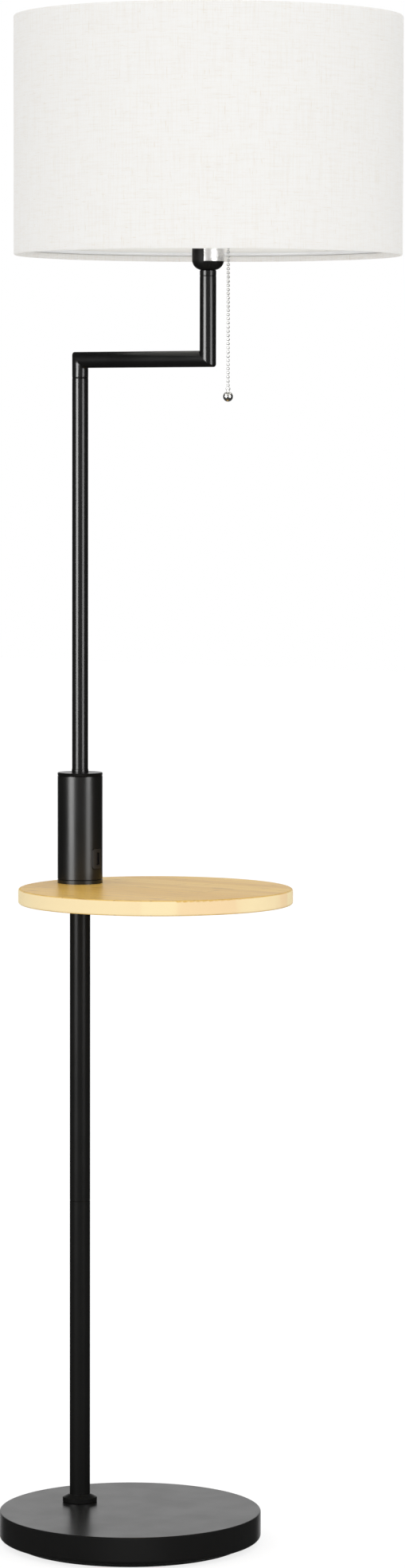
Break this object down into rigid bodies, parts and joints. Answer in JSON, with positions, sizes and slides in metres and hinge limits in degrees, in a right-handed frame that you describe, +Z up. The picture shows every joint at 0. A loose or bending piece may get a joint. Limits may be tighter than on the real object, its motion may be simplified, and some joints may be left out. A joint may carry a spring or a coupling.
{
  "type": "floor lamp with table",
  "caption": "Floor lamp on a round base with a round side table, a power housing with a USB port, a swinging Z arm, a pull chain and a drum shade.",
  "frame": {"origin": "middle of the round base on the floor, at the pad's underside", "axes": "+Z up, +X from the pole towards the middle of the table and the lamp head"},
  "size_m": [0.4137, 0.376, 1.5],
  "materials": {
    "black_coat": "black powder coat with a soft sheen",
    "black_gloss": "smooth black enamel",
    "bamboo": "laminated bamboo strips under clear satin varnish",
    "linen": "off-white linen-look cloth",
    "liner_film": "stiff white styrene film",
    "white_wire": "white coated steel wire",
    "zinc": "zinc plated steel",
    "brass": "plain brass",
    "chain_chrome": "nickel plated bead chain",
    "foil": "brushed foil",
    "shell_metal": "rolled thread shell",
    "cast": "cast mineral filler",
    "rubber_pad": "ribbed non-slip pad",
    "bushing": "moulded black nylon",
    "phenolic": "black phenolic",
    "black_plastic": "fine-grained black ABS",
    "port_black": "glossy black ABS",
    "port_steel": "dark nickel plated steel",
    "tongue_black": "black insulating plastic",
    "gold_contact": "gold plated contact",
    "board": "green circuit board",
    "coil_tape": "yellow transformer tape",
    "capacitor_sleeve": "dark shrink sleeve"
  },
  "bodies": {
    "stand": {"base_pad": "rubber_pad", "base_weight": "cast", "base_cover": "black_coat", "cord_bushing": "bushing", "base_stem": "zinc", "base_washer": "zinc", "base_nut": "zinc", "base_collar": "black_coat", "pole_foot_plug": "zinc", "lower_pole_bottom": "black_coat", "pole_coupler": "zinc", "lower_pole_top": "black_coat", "pole_top_plug": "zinc", "table_flange": "black_coat", "table_top": "bamboo", "housing_foot": "black_plastic", "housing_shell": "black_plastic", "housing_cap": "black_plastic", "usb_plate": "port_black", "usb_shell": "port_steel", "usb_tongue": "tongue_black", "usb_contacts": "gold_contact", "power_board": "board", "transformer": "coil_tape", "capacitors": "capacitor_sleeve", "core_rod": "zinc", "clamp_ring": "black_gloss", "upper_foot_plug": "zinc", "upper_pole": "black_gloss", "swivel_bush": "brass", "swivel_washer": "black_plastic"},
    "arm": {"arm_pivot": "zinc", "pivot_clip": "zinc", "swing_arm": "black_gloss", "stub_insert": "zinc", "head_nipple": "zinc", "neck_ring": "black_gloss", "holder_cup": "black_coat", "foil_patch": "foil", "chain_guide": "brass", "pull_switch": "phenolic", "holder_body": "phenolic", "bulb_shell": "shell_metal", "centre_contact": "brass", "shade_clamp": "phenolic", "shade_fitter": "white_wire", "shade_top_ring": "white_wire", "shade_liner": "liner_film", "shade_cloth": "linen"},
    "chain_top": {"chain_lead": "chain_chrome"},
    "chain": {"pull_chain": "chain_chrome", "chain_ferrule": "chain_chrome", "chain_ball": "chain_chrome"}
  },
  "joints": [
    {"name": "arm_swivel", "type": "hinge", "parent": "stand", "child": "arm", "pos_m": [-0.064, 0, 1.1545], "axis": [0, 0, 1], "range_deg": [-175, 175]},
    {"name": "chain_pull", "type": "slide", "parent": "arm", "child": "chain_top", "axis": [0, 0, -1], "range_m": [0, 0.006], "stiffness_N_per_m": 800},
    {"name": "chain_swing", "type": "hinge", "parent": "chain_top", "child": "chain", "pos_m": [0.1185, 0, 1.2799], "axis": [1, 0, 0], "range_deg": [-30, 30]}
  ]
}
